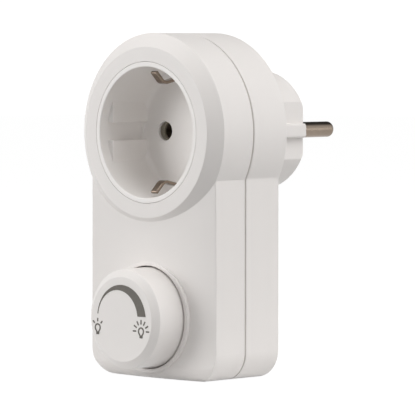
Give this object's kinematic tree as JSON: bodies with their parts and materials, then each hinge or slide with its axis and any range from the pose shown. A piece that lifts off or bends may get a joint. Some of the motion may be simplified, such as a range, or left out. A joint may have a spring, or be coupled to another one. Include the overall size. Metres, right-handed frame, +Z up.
{
  "type": "plug-in dimmer",
  "caption": "White plug-in dimmer with a round recessed socket head, a dial on the body below it and a round earthed plug behind.",
  "frame": {"origin": "midway between the two plug pins, on the plug's flat end face", "axes": "+Y along the plug pins towards the wall, so the socket and the dial face -Y; +Z up, from the dial towards the socket; +X to the right as seen from the front"},
  "size_m": [0.0588, 0.0806, 0.1024],
  "materials": {
    "case_plastic": "white satin moulded plastic",
    "cup_plastic": "white satin moulded plastic",
    "knob_plastic": "white smooth moulded plastic",
    "carrier_plastic": "natural moulded plastic",
    "print_ink": "dark grey pad print",
    "nickel": "warm nickel plate",
    "brass": "bare stamped brass",
    "steel": "zinc plated steel",
    "aluminium": "plain aluminium sheet",
    "tinned_lead": "tinned metal",
    "board_laminate": "green lacquered board",
    "track_laminate": "carbon on phenolic",
    "black_epoxy": "black moulded epoxy",
    "ferrite": "matte ferrite",
    "enamelled_copper": "enamelled copper",
    "capacitor_case": "yellow plastic case",
    "capacitor_dip": "dipped resin",
    "resistor_body": "lacquered",
    "diac_glass": "glossy",
    "fuse_glass": "clear glass",
    "brown_insulation": "soft insulation",
    "black_insulation": "soft insulation"
  },
  "bodies": {
    "case": {"front_cover": "case_plastic", "rear_cover": "case_plastic", "socket_cup": "cup_plastic", "case_screws": "steel", "contact_carrier": "carrier_plastic", "carrier_screws": "steel", "live_contact": "brass", "neutral_contact": "brass", "earth_bridge": "nickel", "upper_earth_strip": "nickel", "lower_earth_strip": "nickel", "earth_rivets": "brass", "live_pin": "nickel", "neutral_pin": "nickel", "pin_plate": "carrier_plastic", "pin_plate_screw": "steel", "live_wire": "brown_insulation", "load_wire": "black_insulation", "circuit_board": "board_laminate", "board_screws": "steel", "pot_case": "steel", "pot_bushing": "brass", "pot_track": "track_laminate", "pot_terminals": "tinned_lead", "triac": "black_epoxy", "triac_leads": "tinned_lead", "heat_sink": "aluminium", "heat_sink_screw": "steel", "heat_sink_nut": "steel", "choke_core": "ferrite", "choke_winding": "enamelled_copper", "film_capacitor": "capacitor_case", "capacitor_leads": "tinned_lead", "timing_capacitor": "capacitor_dip", "resistors": "resistor_body", "diac": "diac_glass", "fuse_tube": "fuse_glass", "fuse_caps": "tinned_lead", "fuse_clips": "brass"},
    "dial": {"knob": "knob_plastic", "dial_print": "print_ink", "pot_shaft": "carrier_plastic", "pot_wiper": "brass"}
  },
  "joints": [
    {"name": "dial_turn", "type": "hinge", "parent": "case", "child": "dial", "pos_m": [0, -0.05, -0.0547], "axis": [0, 1, 0], "range_deg": [-135, 135]}
  ]
}
